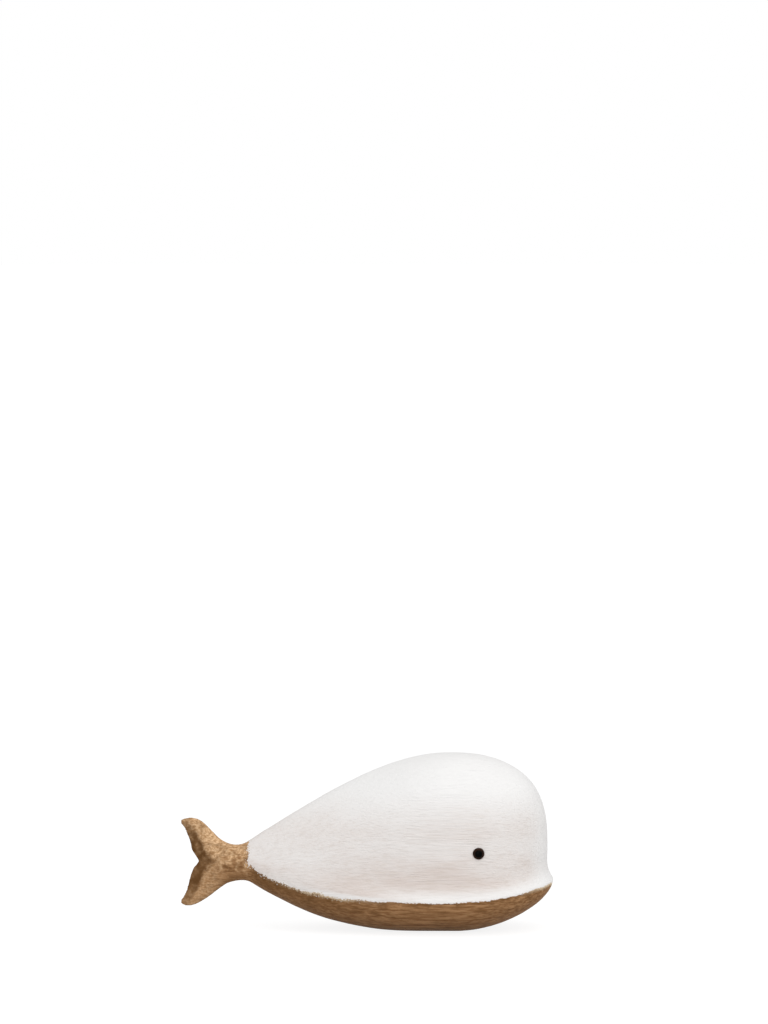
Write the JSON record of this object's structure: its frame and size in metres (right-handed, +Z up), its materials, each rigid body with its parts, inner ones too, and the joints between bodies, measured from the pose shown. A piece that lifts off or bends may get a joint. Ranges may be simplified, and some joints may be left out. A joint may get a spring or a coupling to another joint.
{
  "type": "whale figurine",
  "caption": "Carved wooden whale ornament: white-painted upper block with a lip round the head, bare wood belly with a flat base, upright tail flukes and black bead eyes.",
  "frame": {"origin": "middle of the whale's box at the flat base it rests on", "axes": "+X from the tail to the head, +Y to the whale's left side, +Z up"},
  "size_m": [0.26, 0.096, 0.1234],
  "materials": {
    "white_paint": "chalky white paint over wood grain",
    "stained_wood": "brown stain, matt",
    "peg_wood": "plain sanded",
    "black_bead": "high gloss"
  },
  "bodies": {
    "root": {"upper_body": "white_paint", "belly": "stained_wood", "tail": "stained_wood", "front_peg": "peg_wood", "rear_peg": "peg_wood", "tail_peg": "peg_wood", "left_eye": "black_bead", "right_eye": "black_bead"}
  },
  "joints": []
}
